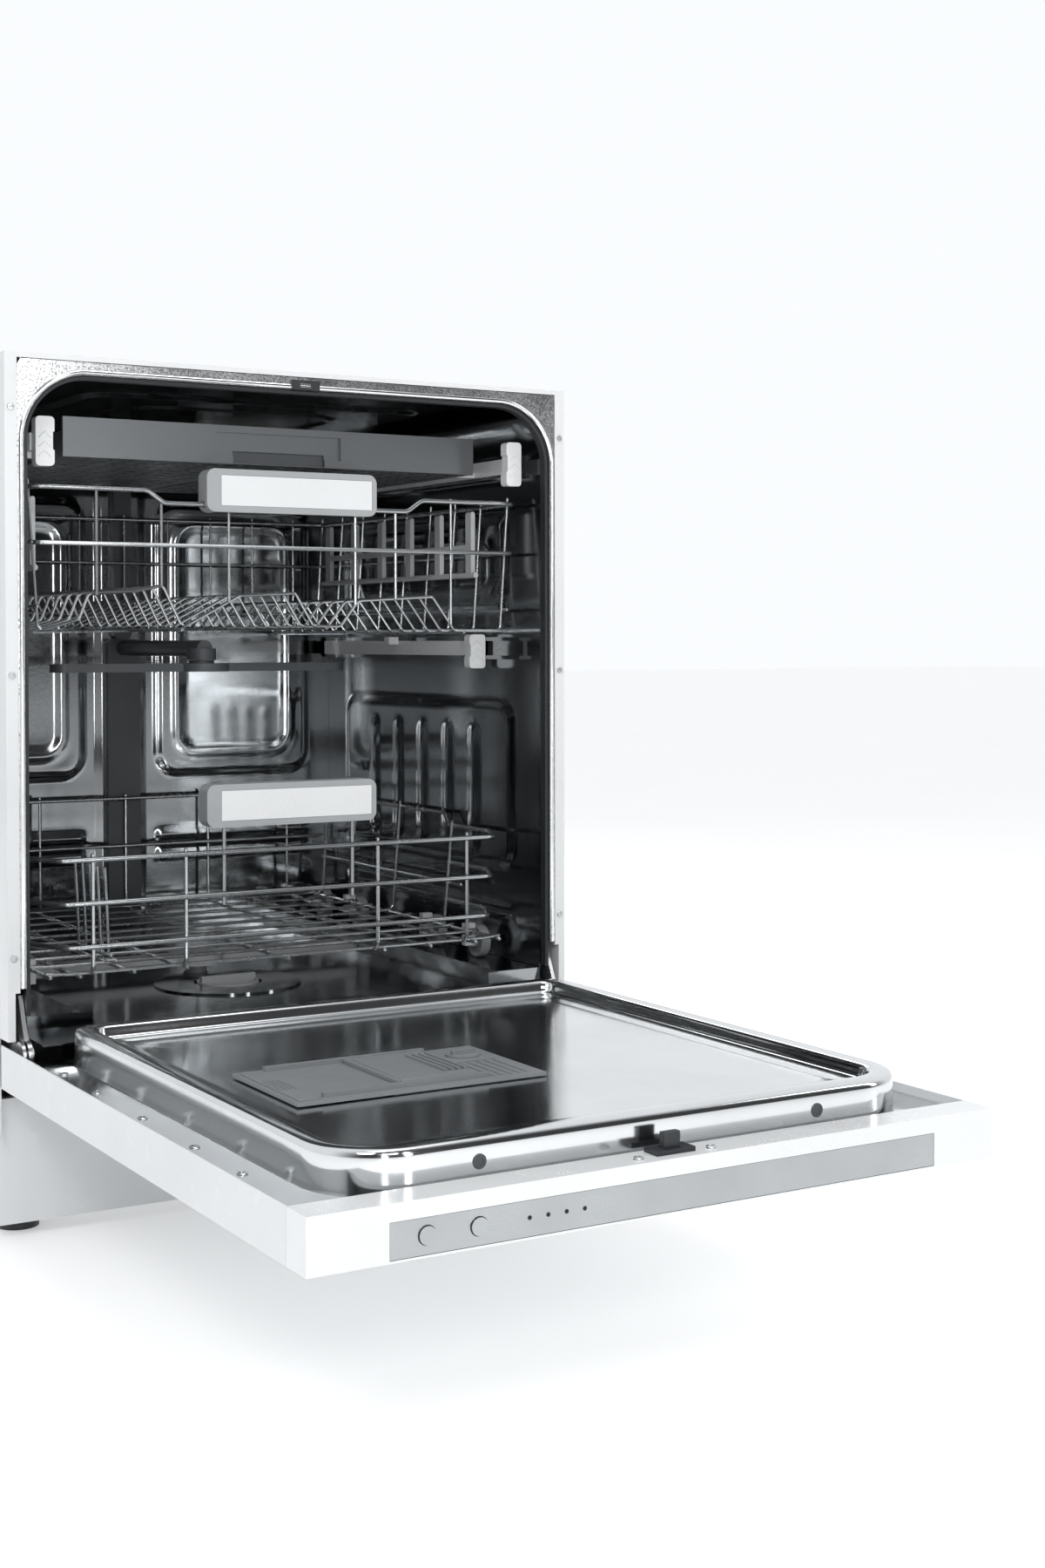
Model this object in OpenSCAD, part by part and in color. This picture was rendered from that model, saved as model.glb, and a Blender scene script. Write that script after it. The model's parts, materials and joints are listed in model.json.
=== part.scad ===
// Built-in dishwasher, 60 cm class: steel tub in a white frame, drop-down door,
// two wire baskets, a slide-out cutlery tray, spray arms and the wet end in the base.
// +X is right, +Y goes into the tub, +Z is up. The door is open and lies level;
// both baskets and the tray are pushed home.

/* [Body] */
// Overall width of the body and of the door
body_w = 598; // [596:1:600]
// Overall height from floor to top
body_h = 820; // [818:1:822]
// Depth of the body behind its front plane
body_d = 546; // [544:1:548]
// Half width of the clear opening
open_hw = 281.5; // [281:0.5:282]
// Height of the top of the clear opening
open_top = 803; // [802:1:803]
// Corner radius of the opening
open_r = 62; // [55:1:65]

/* [Door] */
// Distance from the front plane to the door's end when it is open
door_reach = 637; // [634:1:640]
// Height of the upper edge of the open door
door_z = 186; // [186:1:186]
// Thickness of the door
door_t = 40; // [38:1:40]
// Height of the hinge pin
hinge_z = 181; // [181:1:181]
// Distance of the hinge pin in front of the front plane
hinge_y = 7; // [7:1:7]
// Half width of the pressed pan on the door's inside
pan_hw = 260; // [256:1:260]
// Height of the pan's rim
pan_z = 211; // [211:1:211]

/* [Baskets] */
// Thickness of the thick rim wires
wire_d = 5; // [4:0.5:5]
// Thickness of the thin wires
thin_d = 3; // [2.5:0.5:3]
// Full travel of the lower basket
lower_travel = 523; // [520:1:523]
// Radius of a basket wheel
wheel_r = 17.5; // [17:0.5:17.5]
// Length of a basket handle
handle_l = 184; // [176:2:186]

/* [Screws and mounts] */
// Radius of the holes in the worktop tabs
tab_hole_r = 2.5; // [2:0.5:3]
// Distance between the two worktop tabs
tab_pitch = 440; // [420:10:460]
// Outer radius of the water inlet thread
inlet_r = 13.2; // [13:0.1:13.4]
// Outer radius of the drain spigot
drain_r = 9.5; // [9:0.5:10]

/* [Hidden] */
hw = body_w / 2;
tub_hw = 277.5;                       // half width inside the tub
tub_top = 799;                        // inside top of the tub
tub_y = 528;                          // inside face of the tub's back
sheet = 1.2;
ledge_z = pan_z;                      // the wheels run on the ledge and on the pan's rim
floor_z = 192;
home = 38;                            // front plane of both baskets when pushed home
y0 = (door_reach + 1.2 - body_d - 18) / 2; // puts the origin in the middle of the footprint
wheel_z = pan_z + wheel_r + 0.4;
wheel_y = [home + 73, home + 171, home + 367, home + 465];
up_floor = 566;                       // lowest floor wire of the upper basket
up_top = 702;                         // top wire of the upper basket
lw_top = 363.5;                       // top side wire of the lower basket
door_front = -door_reach;
pan_front = -603;
pan_back = -45;
spray_y = 270;

module place() translate([0, y0, 0]) children();
module bx(x1, x2, y1, y2, z1, z2) translate([x1, y1, z1]) cube([x2 - x1, y2 - y1, z2 - z1]);
module pair() { children(); mirror([1, 0, 0]) children(); }
module along_x(x1, x2, y, z, r, fn = 48) translate([x1, y, z]) rotate([0, 90, 0]) cylinder(h = x2 - x1, r = r, $fn = fn);
module along_y(y1, y2, x, z, r, fn = 48) translate([x, y2, z]) rotate([90, 0, 0]) cylinder(h = y2 - y1, r = r, $fn = fn);
module along_z(z1, z2, x, y, r, fn = 48) translate([x, y, z1]) cylinder(h = z2 - z1, r = r, $fn = fn);
// a straight wire from a to b
module wire(a, b, d) {
  v = b - a;
  l = norm(v);
  translate(a) rotate([0, acos(v[2] / l), atan2(v[1], v[0])]) cylinder(h = l, r = d / 2, $fn = 8);
}
// the flat outline of a bent wire of thickness d through the points
function unit(v) = v / norm(v);
function side(p, i) = let(a = unit(p[max(i, 1)] - p[max(i, 1) - 1]), n = len(p) - 1,
  b = unit(p[min(i + 1, n)] - p[min(i + 1, n) - 1]), t = unit(a + b)) [-t[1], t[0]] / max(0.5, t * a);
module bent_line(p, d) polygon(concat([for (i = [0 : len(p) - 1]) p[i] + side(p, i) * d / 2],
  [for (i = [len(p) - 1 : -1 : 0]) p[i] - side(p, i) * d / 2]));
// an outline in the XZ plane drawn out from y1 to y2
module slab_y(y1, y2) translate([0, y2, 0]) rotate([90, 0, 0]) linear_extrude(height = y2 - y1) children();
// an outline in the YZ plane drawn out from x1 to x2
module slab_x(x1, x2) translate([x1, 0, 0]) rotate([90, 0, 90]) linear_extrude(height = x2 - x1) children();
// a door opening's outline: square below, round corners at the top
module arch(w, top, r, bottom) {
  translate([-w, bottom]) square([2 * w, top - r - bottom]);
  translate([r - w, top - r - 1]) square([2 * (w - r), r + 1]);
  for (s = [-1, 1]) translate([s * (w - r), top - r]) circle(r = r, $fn = 96);
}
// a rectangle with round corners
module soft_rect(x1, x2, y1, y2, r) {
  translate([x1 + r, y1]) square([x2 - x1 - 2 * r, y2 - y1]);
  translate([x1, y1 + r]) square([x2 - x1, y2 - y1 - 2 * r]);
  for (x = [x1 + r, x2 - r], y = [y1 + r, y2 - r]) translate([x, y]) circle(r = r, $fn = 64);
}
// the pan's outline on the door, with large corners at the front
module pan_outline(inset) {
  r = 60 - inset;
  w = pan_hw - inset;
  f = pan_front + inset;
  b = pan_back - inset;
  translate([-w, f + r]) square([2 * w, b - f - r - 20]);
  translate([r - w, f]) square([2 * (w - r), r + 1]);
  translate([20 - w, b - 21]) square([2 * (w - 20), 21]);
  for (s = [-1, 1]) {
    translate([s * (w - r), f + r]) circle(r = r, $fn = 96);
    translate([s * (w - 20), b - 20]) circle(r = 20, $fn = 48);
  }
}

// ---------- the tub and the body ----------
module tub_wrapper() place() color("silver") difference() {
  tub_wrapper_body();
  bx(-15.4, 15.4, -4, 3, 802.2, 812.4);
}
module tub_wrapper_body() {
  slab_y(14, tub_y) difference() {
    arch(tub_hw + sheet, tub_top + sheet, 46, ledge_z - 20);
    arch(tub_hw, tub_top, 46 - sheet, ledge_z - 21);
  }
  // front flange, throat and the raised bead round the opening
  slab_y(13, 14.2) difference() {
    arch(open_hw + sheet, open_top + sheet, open_r, 240);
    arch(tub_hw, tub_top, 46, 239);
  }
  slab_y(1, 13.2) difference() {
    arch(open_hw + sheet, open_top + sheet, open_r + sheet, 240);
    arch(open_hw, open_top, open_r, 239);
  }
  slab_y(0.2, 1.6) difference() {
    translate([-287.3, 240]) square([574.6, 574.6]);
    arch(open_hw, open_top, open_r, 239);
  }
  bead_x = open_hw + 2.5;
  bead_z = open_top + 2.5;
  pair() along_z(240, bead_z - open_r - 2.5, bead_x, 1.3, 2.4);
  along_x(-(open_hw - open_r), open_hw - open_r, 1.3, bead_z, 2.4);
  for (s = [0, 1]) mirror([s, 0, 0]) intersection() {
    translate([open_hw - open_r, 1.3, open_top - open_r]) rotate([90, 0, 0])
      rotate_extrude($fn = 96) translate([open_r + 2.5, 0]) circle(r = 2.4, $fn = 32);
    bx(open_hw - open_r, hw, -5, 8, open_top - open_r, body_h);
  }
}
module tub_back() place() color("silver")
  slab_y(tub_y, tub_y + sheet) arch(tub_hw + sheet, tub_top + sheet, 46, floor_z - sheet);
module tub_floor() place() color("silver") {
  // front sill, and the ends of the two ledges
  bx(-275, 275, -25, 14.4, floor_z - 2.2, floor_z - 0.8);
  pair() bx(214, 277, 14, 15.4, floor_z - 2, ledge_z - 0.6);
  floor_sheet();
}
module floor_sheet() difference() {
  slab_y(14, tub_y) polygon([[-tub_hw, ledge_z], [-226, ledge_z], [-216, floor_z], [216, floor_z], [226, ledge_z],
    [tub_hw, ledge_z], [tub_hw, ledge_z - sheet], [227, ledge_z - sheet], [217, floor_z - sheet],
    [-217, floor_z - sheet], [-227, ledge_z - sheet], [-tub_hw, ledge_z - sheet]]);
  along_z(floor_z - 5, floor_z + 5, 0, spray_y - 70, 62, 96);
  along_z(floor_z - 5, floor_z + 5, -150, 400, 34.6, 64);
  along_z(floor_z - 5, floor_z + 5, 0, spray_y + 20, 14.5, 64);
}
module front_frame() place() color("white") difference() {
  union() {
    pair() bx(287.5, hw, 0, 25, 236, body_h);
    pair() bx(292, hw, 0, 25, 192, 237);
    bx(-hw, hw, 0, 25, 815.3, body_h);
    for (s = [-1, 1]) bx(s * tab_pitch / 2 - 14, s * tab_pitch / 2 + 14, 24, 52, body_h - 2, body_h);
  }
  for (s = [-1, 1]) along_z(body_h - 5, body_h + 5, s * tab_pitch / 2, 38, tab_hole_r);
}
module door_gasket() place() color("dimgray") slab_y(3, 12.5) difference() {
  arch(open_hw - 0.3, open_top - 0.3, open_r - 0.3, 214);
  arch(open_hw - 4.3, open_top - 4.3, open_r - 4.3, 213);
}
module casing_panels() place() color("gainsboro") {
  pair() bx(hw - 1, hw, 25.3, body_d - 1.3, 100.3, body_h - 1.5);
  bx(-hw, hw, body_d - 1, body_d, 100.3, body_h - 1.5);
  difference() {
    bx(-hw, hw, 25.3, body_d, body_h - 1, body_h);
    for (s = [-1, 1]) bx(s * tab_pitch / 2 - 15, s * tab_pitch / 2 + 15, 20, 53, body_h - 3, body_h + 1);
  }
}
module base_pan() place() color("whitesmoke") difference() {
  bx(-hw, hw, 48, body_d, 24, 100);
  bx(-hw + 3, hw - 3, 51, body_d - 3, 27, 101);
  along_y(body_d - 4, body_d + 1, 200, 62, inlet_r + 1.5);
  along_y(body_d - 4, body_d + 1, -124, 62, drain_r + 1.5);
}
module plinth() place() color("whitesmoke") difference() {
  bx(-hw + 1.4, hw - 1.4, 40, 47.7, 14, 132);
  bx(-hw + 3.4, hw - 3.4, 42, 48, 16, 130);
}
module feet() place() color("dimgray") for (x = [-265, 265], y = [85, 510]) {
  along_z(0, 8, x, y, 20);
  along_z(7, 23.7, x, y, 6);
}
module hinge_brackets() place() color("gray") pair() {
  difference() {
    union() {
      along_x(288, 291, -hinge_y, hinge_z, 12);
      bx(288, 291, -hinge_y, 72, hinge_z - 12, hinge_z + 9);
      bx(288, 297.5, 60, 72, hinge_z - 12, hinge_z + 9);
    }
    along_x(287, 299, 46, hinge_z - 2, 2.5);
  }
  along_x(280.5, 289, -hinge_y, hinge_z, 4);
  along_x(279, 281, -hinge_y, hinge_z, 6.5);
}
module latch_striker() place() color("black") {
  difference() {
    bx(-15, 15, -1.2, 2.6, open_top - 0.5, open_top + 9);
    bx(-6, 6, -2, 5, open_top + 2, open_top + 6);
  }
}
module sump() place() color("dimgray") difference() {
  union() {
    along_z(118, floor_z - sheet - 0.1, 0, spray_y - 70, 66, 96);
    along_z(112, 119, 0, spray_y - 70, 34, 64);
    along_x(60, 96, spray_y - 70, 146, 17);
    along_x(-100, -60, spray_y - 70, 140, 14);
  }
  along_z(122, floor_z, 0, spray_y - 70, 61, 96);
  along_x(50, 97, spray_y - 70, 146, 14);
  along_x(-101, -50, spray_y - 70, 140, 11);
}
module circulation_pump() place() color("darkslategray") {
  difference() {
    along_x(97, 128, spray_y - 70, 146, 40, 64);
    along_x(96, 110, spray_y - 70, 146, 14);
  }
  along_x(127.9, 215, spray_y - 70, 146, 31, 64);
  along_x(214.9, 222, spray_y - 70, 146, 12);
  along_y(spray_y - 70, spray_y + 20, 112, 168, 9);
  along_x(0, 113, spray_y + 20, 167.5, 8.6);
  along_z(168, floor_z - 12.4, 0, spray_y + 20, 11.5);
}
module drain_pump() place() color("gray") {
  difference() {
    along_x(-140, -101, spray_y - 70, 140, 27, 64);
    along_x(-112, -100, spray_y - 70, 140, 11);
  }
  along_x(-176, -139.9, spray_y - 70, 140, 20, 64);
  difference() {
    union() {
      along_y(spray_y - 60, body_d - 25, -124, 62, 8.4, 64);
      along_y(body_d - 26, body_d + 18, -124, 62, drain_r, 64);
      along_z(56, 134, -124, spray_y - 58, 8);
    }
    along_y(spray_y, body_d + 19, -124, 62, drain_r - 2.5, 64);
  }
}
module feed_duct() place() color("slategray") {
  difference() {
    slab_y(tub_y - 15, tub_y - 0.3) soft_rect(-20, 20, 222, 560, 8);
    bx(-14, 14, tub_y - 12, tub_y - 3, 228, 545);
    along_y(tub_y - 20, tub_y - 10, 0, 549, 7);
  }
  slab_y(tub_y - 12, tub_y - 0.3) soft_rect(-11, 11, 559, 786, 8);
  along_y(spray_y - 2.4, tub_y - 1, 0, 790, 5);
}
module ceiling_spray() place() color("gray") {
  along_z(778, 784.8, 0, spray_y - 14, 30, 64);
  along_z(784.7, tub_top - 0.5, 0, spray_y - 14, 11);
}
module filter_plate() place() color("lightgray") difference() {
  along_z(floor_z + 0.2, floor_z + 1.8, 0, spray_y - 70, 78, 96);
  along_z(floor_z - 1, floor_z + 3, 0, spray_y - 70, 36, 64);
  along_z(floor_z - 1, floor_z + 3, 0, spray_y + 20, 20, 64);
}
module filter_cylinder() place() color("lightgray") {
  difference() {
    along_z(130, floor_z + 3, 0, spray_y - 70, 33, 64);
    along_z(134, floor_z + 4, 0, spray_y - 70, 30, 64);
  }
  bx(-30.5, 30.5, spray_y - 73, spray_y - 67, floor_z - 6, floor_z + 9);
}
module softener() place() color("whitesmoke") {
  difference() {
    union() {
      along_z(112, floor_z - sheet - 0.1, -150, 400, 44, 64);
      bx(-270, -150, 330, 470, 112, 176);
    }
    along_z(118, floor_z, -150, 400, 34, 64);
  }
}
module salt_cap() place() color("lightgray") {
  along_z(floor_z - 14, floor_z + 3, -150, 400, 33.2, 64);
  along_z(floor_z + 2, floor_z + 5, -150, 400, 39, 64);
  bx(-172, -128, 397, 403, floor_z + 4, floor_z + 8.5);
}
module inlet_valve() place() color("whitesmoke") difference() {
  union() {
    along_y(body_d - 5, body_d + 16, 200, 62, inlet_r, 64);
    bx(176, 224, body_d - 50, body_d - 4.3, 40, 86);
    along_y(body_d - 78, body_d - 49, 200, 62, 8);
  }
  along_y(body_d - 2, body_d + 17, 200, 62, inlet_r - 3, 64);
}
module door_springs() place() color("silver") pair() {
  along_y(96, 250, 282, 150, 8);
  along_y(70, 97, 282, 150, 2);
  along_y(249, 300, 282, 150, 2);
  bx(276, 297.5, 300, 303, 138, 162);
}
module rails_fixed() place() color("silver") for (z = [549, 743]) pair() difference() {
  bx(270.3, 277.2, 44, 520, z - 12, z + 12);
  bx(269, 274.8, 43, 521, z - 8, z + 8);
}

// ---------- lower spray arm ----------
module spray_arm(r, z, t) {
  difference() {
    union() {
      translate([0, 0, z]) linear_extrude(height = t) {
        translate([-r + 14, -14]) square([2 * r - 28, 28]);
        for (s = [-1, 1]) translate([s * (r - 14), 0]) circle(r = 14, $fn = 48);
        circle(r = 30, $fn = 64);
      }
    }
    for (i = [1 : 5]) for (s = [-1, 1]) along_z(z + t - 3, z + t + 1, s * (22 + i * (r - 50) / 5), s * 5, 2, 24);
  }
}
module lower_spray_arm() place() color("gray") translate([0, spray_y + 20, 0]) {
  spray_arm(196, floor_z + 10, 11);
  along_z(floor_z - 12, floor_z + 10.1, 0, 0, 12);
}

// ---------- rails of the upper basket and of the tray ----------
module upper_rails_mid() place() color("silver") pair() bx(264.5, 269.5, 130, 510, 541, 557);
module tray_rails_mid() place() color("silver") pair() bx(264.5, 269.5, 60, 440, 735, 751);

// ---------- upper basket ----------
up_profile = [[-249.4, 568], [-216, 578], [-206, 603], [-160, 605], [-132, 611], [-112, 570], [-52, 602],
  [8, 605], [28, 572], [58, 572], [78, 598], [164, 603], [190, 568], [249.4, 568]];
module upper_basket() place() color("silver") {
  u1 = home;
  u2 = 508;
  // the floor: shaped wires across, straight wires along
  for (i = [1 : 15]) slab_y(u1 + 4.5 + i * 28.6, u1 + 7.5 + i * 28.6) bent_line(up_profile, thin_d);
  for (q = [[-236, 569.6], [-112, 568.6], [43, 570.6], [202, 566.6]]) wire([q[0], u1 + 10, q[1]], [q[0], u2 - 10, q[1]], 4);
  // the sides
  pair() {
    for (i = [0 : 7]) wire([251.8, u1 + 16 + i * 60, 568], [261.3, u1 + 16 + i * 60, up_top + 7], thin_d);
    wire([262, u1 + 4, up_top], [262, u2 - 4, up_top], wire_d);
    wire([259.6, u1 + 6, 650], [259.6, u2 - 4, 650], 4);
    wire([255.4, u1 + 6, 590], [255.4, u2 - 4, 590], 3.5);
  }
  // the front, with a dropped middle for the handle
  slab_y(u1 - 2.5, u1 + 2.5) bent_line([[-262, up_top], [-149, up_top], [-132, up_top - 12], [132, up_top - 12],
    [149, up_top], [262, up_top]], wire_d);
  slab_y(u1 + 3.6, u1 + 6.6) bent_line(up_profile, thin_d);
  wire([-256, u1, 649.5], [256, u1, 649.5], 4.5);
  for (q = [[-199, 600, 1], [-134, 607, 0], [-64, 594, 0], [74, 592, 0], [120, 598, 0], [185, 571, 1]])
    wire([q[0], u1 + 3.4, q[1]], [q[0], u1 + 3.4, q[2] > 0 ? up_top + 1 : up_top - 8], thin_d);
  // the back
  wire([-262, u2, up_top], [262, u2, up_top], wire_d);
  wire([-256, u2, 650], [256, u2, 650], 4);
  for (i = [-4 : 4]) wire([i * 55, u2 + 2.6, 588], [i * 55, u2 + 2.6, up_top + 5], thin_d);
  wire([-250, u2, 590], [250, u2, 590], 3.5);
}
module grip(y, z) difference() {
  slab_y(y - 11, y + 11) soft_rect(-handle_l / 2, handle_l / 2, z - 21, z + 21, 9);
  bx(-handle_l / 2 + 15, handle_l / 2 - 5, y - 12, y - 9.5, z - 15, z + 15);
  bx(-handle_l / 2 + 12, handle_l / 2 - 12, y - 3, y + 12, z - 30, z + 11);
}
module grip_plate(y, z) bx(-handle_l / 2 + 15.3, handle_l / 2 - 5.3, y - 10.8, y - 9.6, z - 14.7, z + 14.7);
module upper_handle() place() color("lightgray") difference() {
  grip(home + 1, up_top + 2);
  // saddle for the dropped wire
  bx(-handle_l / 2 - 1, handle_l / 2 + 1, home - 3.2, home + 4.5, up_top - 15.2, up_top - 8.8);
}
module upper_handle_plate() place() color("white") grip_plate(home + 1, up_top + 2);
module upper_rail_carriers() place() color("white") pair() {
  bx(258.4, 264, 118, 500, 541, 557);
  difference() {
    slab_y(home + 78, home + 90) soft_rect(250, 269.9, 527, 564, 4);
    bx(249, 251.5, 100, 130, 540, 553);
  }
  bx(246, 258.5, 300, 312, 553, 561.5);
}
module upper_feed_pipe() place() color("gray") {
  along_y(spray_y - 10, tub_y - 15.5, 0, 549, 9);
  along_z(536.6, 549, 0, spray_y, 16);
}
module upper_spray_arm() place() color("gray") translate([0, spray_y, 0]) {
  spray_arm(170, 524, 9);
  along_z(532.9, 536.3, 0, 0, 14);
}
module cup_shelf() {
  along_y(90, 470, 243, 628, 3, 24);
  for (i = [0 : 5]) {
    translate([0, 96 + i * 70, 0]) {
      bx(240.5, 245.5, 0, 12, 628, 694);
      along_y(0, 12, 243, 694, 2.5, 24);
    }
  }
  bx(241, 245, 96, 458, 655, 661);
}
module cup_shelf_left() place() color("lightgray") mirror([1, 0, 0]) cup_shelf();
module cup_shelf_right() place() color("lightgray") cup_shelf();

// ---------- cutlery tray ----------
module cutlery_tray() place() color("slategray") {
  difference() {
    bx(-222, 222, 67, 470, 733, 758);
    bx(-220, 220, 69, 468, 735.5, 759);
    for (i = [-9 : 9], j = [0 : 15]) if (abs(i) > 0) bx(i * 22 - 8, i * 22 + 8, 80 + j * 24, 90 + j * 24, 730, 740);
    bx(-8, 8, 90, 450, 730, 734);
  }
  // dividers
  for (x = [-74, 74]) bx(x - 1.5, x + 1.5, 69, 468, 735, 752);
}
module tray_front() place() color("silver") difference() {
  bx(-224, 224, 62, 66.7, 733, 771);
  bx(-68, 68, 61, 64.5, 741, 764);
  bx(-50, 50, 61, 67.5, 733.6, 746);
}
module tray_rail_carriers() place() color("white") pair() {
  bx(258.4, 264, 38.2, 430, 735, 751);
  difference() {
    slab_y(26, 38) soft_rect(244, 262, 720, 766, 4);
    bx(243, 245.5, 25, 39, 735, 752);
  }
  bx(222.3, 258.5, 120, 128, 735, 741);
  bx(222.3, 258.5, 380, 388, 735, 741);
}

// ---------- lower basket ----------
module lower_basket() place() color("silver") {
  l1 = home;
  l2 = home + 469;
  // floor grid
  for (i = [-4 : 4]) wire([i * 54, l1 + 6, 238], [i * 54, l2 - 6, 238], 4);
  for (i = [0 : 9]) wire([-247, l1 + 12 + i * 50, 241.4], [247, l1 + 12 + i * 50, 241.4], 4);
  pair() wire([245, l1 + 8, 240], [245, l2 - 8, 240], 4.5);
  // sides: a rim that drops near the front, a middle wire and posts
  pair() {
    slab_x(261.2, 265.8) bent_line([[l1 + 146.5, 349.5], [l1 + 158, 362], [l1 + 458, lw_top]], 4.6);
    wire([257, l1 + 146.5, 286], [257, l1 + 458, 286], 4);
    for (y = [263, 378, 455]) wire([251, l1 + y, 246.4], [261, l1 + y, 370], 4);
  }
  // front: three thick wires with chamfered corners
  for (q = [[350, 263], [308.5, 259.5], [267, 256]]) translate([0, 0, q[0] - wire_d / 2]) linear_extrude(height = wire_d)
    bent_line([[-q[1], l1 + 143], [-q[1], l1 + 60], [28 - q[1], l1], [q[1] - 28, l1], [q[1], l1 + 60], [q[1], l1 + 143]], wire_d);
  pair() wire([250.6, l1 + 138, 252], [258.6, l1 + 138, 356], 4);
  for (x = [-204, -110, 99, 204]) wire([x, l1 + 3.4, 246], [x, l1 + 3.4, 356], 4);
  for (x = [-70, 70]) wire([x, l1 + 3.6, 298], [x, l1 + 3.6, 382], 4.5);
  // back
  for (z = [lw_top + 6, 313]) wire([-257, l2, z], [257, l2, z], 4.5);
  for (i = [-2 : 2]) wire([i * 105, l2 + 3, 246], [i * 105, l2 + 3, 375], 4);
}
module lower_handle() place() color("lightgray") difference() {
  grip(home + 3.6, 396);
  for (x = [-70, 70]) along_z(366, 382.6, x, home + 3.6, 2.6, 24);
}
module lower_handle_plate() place() color("white") grip_plate(home + 3.6, 396);
module wheel_brackets() place() color("lightgray") pair() for (y = wheel_y) {
  difference() {
    union() {
      bx(239, 251.5, y - 4, y + 4, wheel_z - 4, 249);
      along_x(248, 251.7, y, wheel_z, 6);
      along_x(251.5, 263.4, y, wheel_z, 3, 32);
    }
    along_y(y - 6, y + 6, 245, 240, 2.6, 24);
    bx(238, 251, y - 5, y + 5, 236.3, 243.6);
  }
}
module wheels(y) pair() difference() {
  union() {
    along_x(252.2, 264, y, wheel_z, 6.5);
    difference() {
      along_x(252.2, 264, y, wheel_z, wheel_r, 64);
      along_x(258.5, 265, y, wheel_z, wheel_r - 3.5, 64);
      along_x(251, 254, y, wheel_z, wheel_r - 3.5, 64);
    }
  }
  along_x(251, 265, y, wheel_z, 3.06, 32);
}
module wheels_front() place() color("lightgray") wheels(wheel_y[0]);
module wheels_second() place() color("lightgray") wheels(wheel_y[1]);
module wheels_third() place() color("lightgray") wheels(wheel_y[2]);
module wheels_rear() place() color("lightgray") wheels(wheel_y[3]);
// a folding row of tines on its own pivot wire
module tine_row(x, y1, y2, n) {
  along_y(y1, y2, x, 247.5, 2, 24);
  for (i = [0 : n - 1]) {
    y = y1 + 8 + i * (y2 - y1 - 16) / (n - 1);
    along_z(247.5, 335, x, y, 1.6, 16);
  }
}
module tine_row_rear() place() color("silver") tine_row(-190, 285, 425, 6);
module tine_row_front() place() color("silver") tine_row(-167, 95, 200, 5);

// ---------- door, drawn open and level ----------
module door_outer_panel() place() color("white") {
  difference() {
    bx(-hw, hw, -606, 22, door_z - door_t, door_z - door_t + sheet);
    for (x = [-240, 240], y = [-500, -150]) along_z(door_z - door_t - 1, door_z - door_t + 3, x, y, 2.2);
  }
  pair() bx(hw - sheet, hw, -606, 22, door_z - door_t, door_z);
}
module door_inner_liner() place() color("silver") difference() {
  union() {
    bx(-hw + 1.6, hw - 1.6, -605.8, -31, 176.8, 178);
    translate([0, 0, 177]) linear_extrude(height = pan_z - 177) pan_outline(0);
  }
  translate([0, 0, 175]) linear_extrude(height = 200 - sheet - 175) pan_outline(sheet);
  translate([0, 0, 198]) linear_extrude(height = pan_z - sheet - 198) difference() {
    pan_outline(sheet);
    pan_outline(30 - sheet);
  }
  translate([0, 0, 200]) linear_extrude(height = 20) pan_outline(30);
  bx(-112, 22, -402, -282, 170, 215);
  for (x = [-279, 279], y = [-96, -182, -289, -398, -488]) along_z(170, 185, x, y, 2.3, 24);
}
module control_housing() place() color("white") difference() {
  union() {
    bx(-hw, hw, door_front, -606.3, door_z - door_t, door_z);
  }
  bx(-hw + 2.5, hw - 2.5, door_front + 5, -606, door_z - door_t + 2.5, door_z - 2.5);
  bx(-238.4, 238.4, door_front - 1, door_front + 2.5, door_z - door_t + 1.6, 173.4);
  for (x = [-210, -170]) along_y(door_front, door_front + 6, x, 161, 7, 48);
}
module control_fascia() place() color("silver") difference() {
  bx(-238, 238, door_front + 0.4, door_front + 2.4, door_z - door_t + 2, 173);
  for (x = [-210, -170]) along_y(door_front - 1, door_front + 6, x, 161, 7, 48);
}
module push_button(x) {
  along_y(door_front - 1.2, door_front + 4.6, x, 161, 6.4, 48);
}
module power_button() place() color("gray") push_button(-210);
module start_button() place() color("gray") push_button(-170);
module door_latch() place() color("black") difference() {
  bx(-17, 17, -627, -610, door_z + 0.1, door_z + 3.5);
  bx(-7.4, 7.4, -622, -611.8, door_z, door_z + 4);
}
module latch_tongue() place() color("black") bx(-7, 7, -621.6, -615.6, door_z + 0.4, door_z + 15);
module dispenser() place() color("darkgray") difference() {
  union() {
    bx(-111.7, 21.7, -401.7, -282.3, 182, 199.6);
    bx(-198, 26, -406, -278, 200.2, 203);
    bx(-111.7, 21.7, -401.7, -282.3, 199.5, 200.3);
    // guides for the sliding lid
    for (y = [-398, -286.4]) bx(-172, -24, y, y + 5.4, 202.9, 206.6);
  }
  // the detergent cup and the rinse-aid filler
  bx(-100, -30, -392, -287, 186, 204);
  along_z(188, 204, 0, -312, 15.4);
}
module dispenser_lid() place() color("gray") {
  bx(-102, -28, -392, -287, 203.3, 206);
  for (x = [-52, -46, -40, -34]) bx(x, x + 3, -374, -305, 205.9, 208);
}
module rinse_aid_cap() place() color("dimgray") {
  along_z(196, 204.5, 0, -312, 15);
  bx(-11, 11, -314, -310, 204.4, 208);
}
module hinge_arms() place() color("gray") pair() difference() {
  union() {
    along_x(282, 286, -hinge_y, hinge_z, 13);
    bx(282, 286, -140, -hinge_y, 158, 174);
    slab_x(282, 286) polygon([[-14, 176], [2, 172], [26, 231], [20, 234], [12, 232]]);
  }
  along_x(281, 287, -hinge_y, hinge_z, 4.06);
}
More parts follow.
